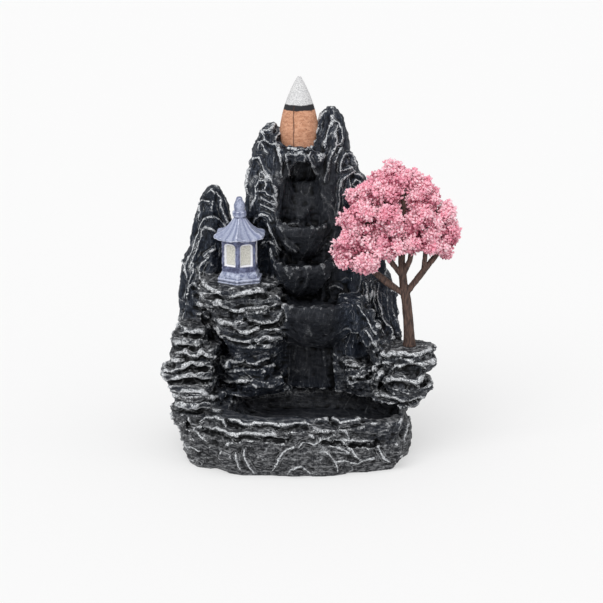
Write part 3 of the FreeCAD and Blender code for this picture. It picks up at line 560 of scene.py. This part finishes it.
BROAD_VEINS = [
    # lantern ledge
    [(196, 284), (200, 282), (205, 284), (209, 288), (213, 290)],
    [(200, 293), (210, 294), (216, 292), (222, 295), (230, 296), (240, 294), (250, 293), (257, 290), (264, 292)],
    [(199, 305), (207, 304), (213, 306), (218, 302), (225, 306), (231, 309), (239, 311), (247, 308), (256, 308)],
    [(256, 308), (266, 307), (275, 305)],
    [(208, 317), (215, 320), (222, 322), (235, 323)],
    [(250, 319), (258, 321), (267, 322), (277, 319), (279, 316)],
    [(218, 328), (220, 335), (226, 335), (233, 339), (240, 341), (249, 341)],
    [(235, 326), (240, 331), (246, 331), (253, 330), (258, 327)],
    [(258, 341), (266, 337), (273, 338), (281, 337)],
    [(227, 366), (229, 361), (236, 362), (243, 360)],
    [(248, 362), (256, 363), (262, 360), (268, 357)],
    [(226, 380), (236, 381), (245, 381)],
    # left stack
    [(180, 333), (187, 331), (195, 332), (204, 333)],
    [(176, 343), (183, 342), (190, 344), (197, 346)],
    [(177, 354), (184, 352), (190, 355), (197, 356), (201, 352), (208, 356), (216, 357), (222, 357)],
    [(164, 364), (172, 361), (180, 360)],
    [(165, 371), (172, 371), (178, 368), (186, 366), (192, 363), (200, 364), (210, 366)],
    [(162, 375), (168, 379), (176, 378), (184, 376), (192, 375), (200, 377), (209, 377)],
    [(168, 390), (175, 391), (184, 391), (195, 391), (203, 393), (209, 397), (215, 398)],
    [(169, 396), (178, 396), (186, 398), (196, 397), (205, 396)],
    [(169, 405), (178, 405), (188, 407), (198, 407), (209, 407), (218, 409)],
    [(193, 424), (199, 427), (203, 425), (210, 428), (217, 428), (225, 431), (231, 435), (237, 436)],
    # tree ledge
    [(381, 355), (389, 355), (393, 352), (400, 353), (407, 354), (416, 355), (424, 352), (429, 351)],
    [(375, 367), (380, 362), (388, 362)],
    [(400, 366), (408, 363), (415, 362), (422, 364), (428, 362), (434, 360)],
    [(377, 391), (376, 384), (378, 377), (382, 372)],
    [(386, 381), (393, 378), (400, 379), (408, 382), (415, 383), (421, 380), (422, 376)],
    [(381, 393), (389, 396), (396, 397), (401, 400), (408, 400), (417, 397), (424, 396)],
    [(414, 417), (418, 411), (424, 404), (430, 399)],
    [(345, 362), (351, 361), (356, 364)],
    [(354, 376), (361, 376), (367, 373)],
    # rim of the pool
    [(231, 419), (238, 421), (244, 424), (252, 425), (262, 422), (270, 423), (279, 426), (288, 424), (297, 423)],
    [(297, 423), (305, 422), (312, 427), (318, 430), (328, 431)],
    [(230, 433), (238, 434), (246, 432), (255, 433), (264, 435), (272, 434), (279, 437), (286, 437)],
    [(336, 439), (345, 440), (355, 441), (364, 441), (372, 441)],
    [(334, 419), (340, 423), (349, 421), (358, 420)],
]
THIN_REACH = 1.9
BROAD_REACH = 3.0


def veins(points):
    """For every point the signed distance to the nearest thin and broad vein, as a share of its reach."""
    across, down, depth = front_view(points)
    seen = np.flatnonzero(in_sight(across, down, depth))
    across = across[seen] + 1.3 * noise_field(points[seen], (0.35,) * 3, 51.0)
    down = down[seen] + 1.3 * noise_field(points[seen], (0.35,) * 3, 57.0)
    found = np.full((2, len(points)), 9.0)
    for row, (lines, reach) in enumerate(((THIN_VEINS, THIN_REACH), (BROAD_VEINS, BROAD_REACH))):
        nearest = np.full(len(seen), 9.0)
        for line in lines:
            corners = np.array(line)
            low, high = corners.min(axis=0) - 6, corners.max(axis=0) + 6
            near = (across > low[0]) & (across < high[0]) & (down > low[1]) & (down < high[1])
            gap = line_distance(across[near], down[near], line) / reach
            nearest[near] = np.where(abs(gap) < abs(nearest[near]), gap, nearest[near])
        found[row, seen] = nearest
    return found


ROCK_SHARE = 0.7


def build_rock():
    """The casting with folded peaks, layered ledges and dry-brushed paint."""
    rock = remeshed(cad_copy("rock_body", "rock"), 0.62, 2)
    mesh = rock.data
    points, normals = read_points(mesh)
    layers = bedding(points)
    warp = np.stack([noise_field(points, (0.05,) * 3, 11.0 * axis) for axis in (1, 2, 3)], axis=1)
    bent = points + 7.0 * warp
    fold = noise_field(bent, (0.16, 0.16, 0.03), 3.0)
    crease = noise_field(bent, (0.4, 0.4, 0.09), 7.0)
    bed = noise_field(bent, (0.08, 0.08, 0.4), 5.0)
    leaf = noise_field(bent, (0.3, 0.3, 1.0), 9.0)
    fold = (1 - layers) * fold + layers * bed
    crease = (1 - layers) * crease + layers * leaf
    chips = noise_field(points, (0.5, 0.5, 0.8), 13.0)
    thin, broad_side = veins(points)
    side = np.where(abs(thin) < abs(broad_side), thin, broad_side)
    vein = np.exp(-(side**2))
    under = np.exp(-(((broad_side + 1.55) / 0.7) ** 2))
    push = (0.6 - 0.15 * layers) * (1 - 2 * abs(fold)) + 0.35 * (1 - 2 * abs(crease)) + 0.4 * chips - 0.55
    push += 0.75 * np.exp(-((side / 0.8) ** 2)) - 0.3 * np.exp(-(((abs(side) - 1.9) / 0.7) ** 2)) - 1.3 * under
    still = inside(points[:, 2], 11, 19, 0.3) * ramp(normals[:, 2], 0.7, 0.95) * 0.7
    still = np.maximum(still, 1 - ramp(points[:, 2], 0.6, 3.0))
    for x, y, z, reach in FLATS:
        near = np.hypot(points[:, 0] - x, points[:, 1] - y) < reach
        still = np.maximum(still, near * inside(points[:, 2], z - 1.0, z + 1.5, 0.2))
    points += normals * (push * (1 - still))[:, None]
    write_points(mesh, points)
    fine = relief(mesh, 3)
    broad = relief(mesh, 14)
    write_values(mesh, "edge", np.clip(ramp(fine, 0.02, 0.2) * 0.5 + ramp(broad, 0.15, 1.1) * 0.5, 0, 1))
    # painted shade: darkest in the hollows and in the band under each broad vein
    painted_shade = ramp(-fine, 0.01, 0.14) * 0.5 + ramp(-broad, 0.1, 1.0) * 0.6 + 0.6 * under
    write_values(mesh, "painted_shade", np.clip(painted_shade, 0, 1))
    brushed = layers * (0.45 + 0.55 * ramp(normals[:, 2], 0.2, 0.9))
    # painted shade: below the lantern ledge the stack gets less pale brushing, so it stays darker
    brushed *= 1 - 0.65 * inside(points[:, 0], -30, -4, 1.5) * (1 - ramp(points[:, 2], 38, 46))
    write_values(mesh, "brushed", brushed * ramp(points[:, 2], 18, 24))
    x, y, z = points.T
    fall = inside(x, -9, 13, 3) * inside(z, 21, 103, 4) * (1 - layers)
    pool = inside(x, -27, 36, 2) * inside(y, -28, 10, 2) * inside(z, 10, 16, 1)
    write_values(mesh, "calm", np.maximum(fall, pool))
    write_values(mesh, "low", np.maximum(1 - ramp(z, 14, 22), 0.95 * brushed) * (1 - 0.8 * pool))
    write_values(mesh, "vein", vein)
    write_values(mesh, "side", np.clip(side, -2.5, 2.5))
    write_values(mesh, "fold", fold)
    write_values(mesh, "crease", crease)
    thin = rock.modifiers.new("thin", "DECIMATE")
    thin.ratio = ROCK_SHARE
    return finish_piece(applied(rock), "rock_body", slot="rock_resin", material=rock_material())


# Places on the rock that carry other pieces: x, y, z, reach
FLATS = [(-21.3, -4.0, 61.0, 9.0), (37.4, -10.5, 39.3, 3.2), (-0.8, 6.0, 103.5, 7.3)]

# Lantern
LANTERN_X, LANTERN_Y, LANTERN_Z = -21.3, -4.0, 61.0
PANE_LOW, PANE_HIGH = 6.0, 13.7
PANE_HALF_WIDTH = 2.3
PANE_ARCH = 1.2
WALL_FACE = 5.8
EAVE_LEVEL = 15.5
LANTERN_TURN = 25.0


def build_lantern():
    """The lantern casting with turned-up eaves, roof ribs, softened edges and cream panes."""
    lantern = remeshed(cad_copy("lantern", "lantern_casting"), 0.2, 3)
    mesh = lantern.data
    points, normals = read_points(mesh)
    height = points[:, 2] - LANTERN_Z
    across = points[:, 0] - LANTERN_X
    along = points[:, 1] - LANTERN_Y
    sixth = math.radians(60)
    round_turn = np.arctan2(along, across) - math.radians(LANTERN_TURN)
    corner = (round_turn + sixth / 2) % sixth - sixth / 2
    face = round_turn % sixth - sixth / 2
    reach = np.hypot(across, along)
    depth = reach * np.cos(face)
    side = abs(reach * np.sin(face))
    wander = noise_field(points, (1.2,) * 3, 23.0)
    arch = np.hypot(
        np.maximum(side - PANE_HALF_WIDTH + PANE_ARCH, 0), np.maximum(height - PANE_HIGH + PANE_ARCH, 0)
    )
    border = np.maximum(arch - PANE_ARCH, np.maximum(side - PANE_HALF_WIDTH, PANE_LOW - height))
    on_wall = (1 - ramp(depth, WALL_FACE + 0.3, WALL_FACE + 0.5)) * ramp(depth, 3.0, 4.0)
    recess = (1 - ramp(border, -0.05, 0.15)) * on_wall
    panes = recess * (1 - ramp(border + 0.12 * wander, -0.6, -0.35))
    frames = recess * (1 - panes)
    roof = inside(height, EAVE_LEVEL - 0.4, 22.2, 0.2)
    tip = np.exp(-((corner * reach / 1.5) ** 2)) * ramp(reach, 5.5, 9.4)
    streak = noise_field(np.stack([corner * 9, height * 0.08, face * 2], axis=1), (1.0,) * 3, 25.0)
    hips = np.exp(-((corner * reach / 0.35) ** 2)) * roof
    foot = 1 - ramp(height, 3.6, 4.2)
    push = 0.13 * noise_field(points, (0.9,) * 3, 21.0) * (1 - panes) * (1 - 0.65 * foot) + 0.1 * hips
    push += roof * (0.03 * streak - 0.12 * ramp(reach, 8.9, 9.7))
    push -= 0.25 * np.exp(-(((height - 0.75) / 0.22) ** 2)) * ramp(reach, 6.5, 7.0)
    points += normals * push[:, None]
    points[:, 2] += roof * (0.95 * tip + 0.25 * ramp(reach, 7.5, 9.0) * (0.5 - np.cos(6 * corner) * 0.5))
    write_points(mesh, points)
    fine = relief(mesh, 5)
    write_values(mesh, "edge", ramp(fine, 0.01, 0.1))
    # painted shade in the hollows
    write_values(mesh, "painted_shade", ramp(-fine, 0.01, 0.09))
    write_values(mesh, "pane", panes)
    write_values(mesh, "frame", frames)
    write_values(mesh, "roof", roof)
    write_values(mesh, "foot", np.maximum(foot, 0.7 * ramp(height, 22.0, 22.6)))
    write_values(mesh, "streak", streak)
    return finish_piece(lantern, "lantern", slot="lantern_resin", material=lantern_material())


# Incense cone
CONE_X, CONE_Y, CONE_Z = -0.8, 6.0, 103.5
CHAR_LOW, CHAR_HIGH = CONE_Z + 15.7, CONE_Z + 17.6


def build_cone():
    """The cone: the CAD's own form with a fine skin and a crack down its front."""
    cone = remeshed(cad_copy("incense_cone", "incense"), 0.22, 2)
    mesh = cone.data
    points, normals = read_points(mesh)
    wander = 0.08 * np.sin(points[:, 2] * 0.9) + 0.05 * np.sin(points[:, 2] * 2.3)
    crack = 1 - ramp(abs(points[:, 0] - (CONE_X - 1.9) - wander), 0.05, 0.24)
    crack *= (normals[:, 1] < 0) * (1 - ramp(points[:, 2], CHAR_HIGH - 0.6, CHAR_HIGH))
    points += normals * (0.04 * noise_field(points, (1.6,) * 3, 31.0) - 0.12 * crack)[:, None]
    write_points(mesh, points)
    write_values(mesh, "crack", crack)
    return finish_piece(cone, "incense_cone", slot="incense", material=cone_material())


# Tree
def build_trunk():
    """Trunk and branches with rounded limbs and bark grooves."""
    trunk = remeshed(cad_copy("tree_trunk", "trunk"), 0.22, 5)
    mesh = trunk.data
    points, normals = read_points(mesh)
    grooves = 1 - 2 * abs(noise_field(points, (1.1, 1.1, 0.16), 41.0))
    points += normals * (0.14 * grooves + 0.05)[:, None]
    write_points(mesh, points)
    return finish_piece(trunk, "tree_trunk", slot="trunk_plastic", material=trunk_material())


CRUMB_SIZE = 0.46
PUFF_SIZE = 3.3
LOBE_SIZE = 7.8


def crumb_shape():
    """Points and faces of a small round shape."""
    bm = bmesh.new()
    bmesh.ops.create_icosphere(bm, subdivisions=1, radius=1.0)
    points = np.array([vert.co for vert in bm.verts])
    faces = np.array([[vert.index for vert in face.verts] for face in bm.faces])
    bm.free()
    return points, faces


def puffs(points, size):
    """Crowded domes over a surface: the height of each point, and how near a gap it lies."""
    near = np.array([noise.voronoi(spot)[0][:2] for spot in (points / size).tolist()])
    dome = np.sqrt(np.clip(1 - (near[:, 0] / 0.8) ** 2, 0, 1))
    return dome, 1 - ramp(near[:, 1] - near[:, 0], 0.0, 0.3)


def build_blossom(node, seed, material):
    """One bough's blossom: a core of small domes, covered with foam crumbs."""
    core = remeshed(cad_copy(node, node + "_crumbs"), 0.56, 3)
    mesh = core.data
    points, normals = read_points(mesh)
    hollow = -relief(mesh, 36)
    crease = ramp(hollow, -0.1, 0.8)
    dome, gap = puffs(points + 1.2 * noise_field(points, (0.5,) * 3, 67.0)[:, None], PUFF_SIZE)
    lobe, valley = puffs(points + 2.5 * noise_field(points, (0.2,) * 3, 68.0)[:, None], LOBE_SIZE)
    lift = 1.1 * dome + 2.4 * lobe - 2.6 - 1.6 * crease - 1.2 * valley
    points += normals * lift[:, None]
    write_points(mesh, points)
    points, normals = read_points(mesh)
    # painted shade for the crumbs: darker in hollows, in the valleys and gaps between puffs, and on undersides
    under = ramp(-normals[:, 2], -0.3, 0.8)
    deep = np.clip(0.6 * ramp(hollow, -0.4, 0.5) + 0.6 * valley + 0.35 * gap + 0.6 * under - 0.3, 0, 1)
    chance = np.random.default_rng(seed)
    chosen = np.flatnonzero(chance.random(len(points)) < 0.95 - 0.45 * gap)
    count = len(chosen)
    reach = chance.normal(0.1, 0.25, count) + 1.1 * chance.random(count) ** 4
    spots = points[chosen] + normals[chosen] * reach[:, None]
    spots += chance.normal(0, 0.15, (count, 3))
    shape, faces = crumb_shape()
    sizes = CRUMB_SIZE * chance.uniform(0.5, 1.3, (count, 1, 1))
    jitter = 1 + 0.3 * chance.normal(size=(count, len(shape), 1))
    turned = np.linalg.qr(chance.normal(size=(count, 3, 3)))[0]
    crumbs = np.einsum("kij,nj->kni", turned, shape) * sizes * jitter
    outward = np.einsum("kni,ki->kn", crumbs, normals[chosen]) * chance.uniform(0, 0.9, (count, 1))
    crumbs += spots[:, None, :] + outward[:, :, None] * normals[chosen][:, None, :]
    starts = len(points) + len(shape) * np.arange(count)
    all_faces = [tuple(face.vertices) for face in mesh.polygons]
    all_faces += [tuple(face) for face in (faces[None] + starts[:, None, None]).reshape(-1, 3).tolist()]
    full = bpy.data.meshes.new(core.name)
    full.from_pydata(np.concatenate([points, crumbs.reshape(-1, 3)]).tolist(), [], all_faces)
    core.data = full
    bpy.data.meshes.remove(mesh)
    bm = bmesh.new()
    bm.from_mesh(full)
    bmesh.ops.recalc_face_normals(bm, faces=bm.faces)
    bm.to_mesh(full)
    bm.free()
    tint = np.repeat(chance.random(count), len(shape))
    write_values(full, "tint", np.concatenate([np.full(len(points), 0.2), tint]))
    # the core under the crumbs is given extra painted shade
    write_values(full, "depth", np.concatenate([0.4 + 0.6 * deep, np.repeat(deep[chosen], len(shape))]))
    return finish_piece(core, node, slot="blossom", material=material)


build_rock()
build_lantern()
build_cone()
build_trunk()
pink = blossom_material()
boughs = sorted(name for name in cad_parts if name.startswith("foliage"))
for number, bough in enumerate(boughs):
    build_blossom(bough, 100 + number, pink)


# Studio
def build_studio():
    """A pale floor, soft light from above and in front, and the camera."""
    bpy.ops.mesh.primitive_plane_add(size=12)
    floor = bpy.context.object
    floor.name = "floor"
    material, write, surface = new_material("floor", 0.9)
    surface.inputs["Base Color"].default_value = (0.45, 0.45, 0.45, 1)
    surface.inputs["Emission Color"].default_value = (1, 1, 1, 1)
    surface.inputs["Emission Strength"].default_value = 0.465
    surface.inputs["Specular IOR Level"].default_value = 0.1
    floor.data.materials.append(material)
    world = bpy.data.worlds.new("studio")
    world.use_nodes = True
    world.node_tree.nodes["Background"].inputs["Color"].default_value = (1, 1, 1, 1)
    world.node_tree.nodes["Background"].inputs["Strength"].default_value = 0.69
    scene = bpy.context.scene
    scene.world = world
    scene.view_settings.view_transform = "Standard"
    for name, strength, angle, tilt, spin in [("key", 1.5, 50, 42, -28), ("fill", 0.35, 80, 60, 55)]:
        lamp = bpy.data.lights.new(name, "SUN")
        lamp.energy = strength
        lamp.angle = math.radians(angle)
        holder = bpy.data.objects.new(name, lamp)
        holder.rotation_euler = (math.radians(tilt), 0, math.radians(spin))
        scene.collection.objects.link(holder)
    camera = bpy.data.objects.new("camera", bpy.data.cameras.new("camera"))
    camera.data.lens = 107.5
    camera.data.sensor_width = 36
    camera.location = (0, -0.6108, 0.20695)
    camera.rotation_euler = (math.radians(90 - 14.2), 0, 0)
    scene.collection.objects.link(camera)
    scene.camera = camera


build_studio()
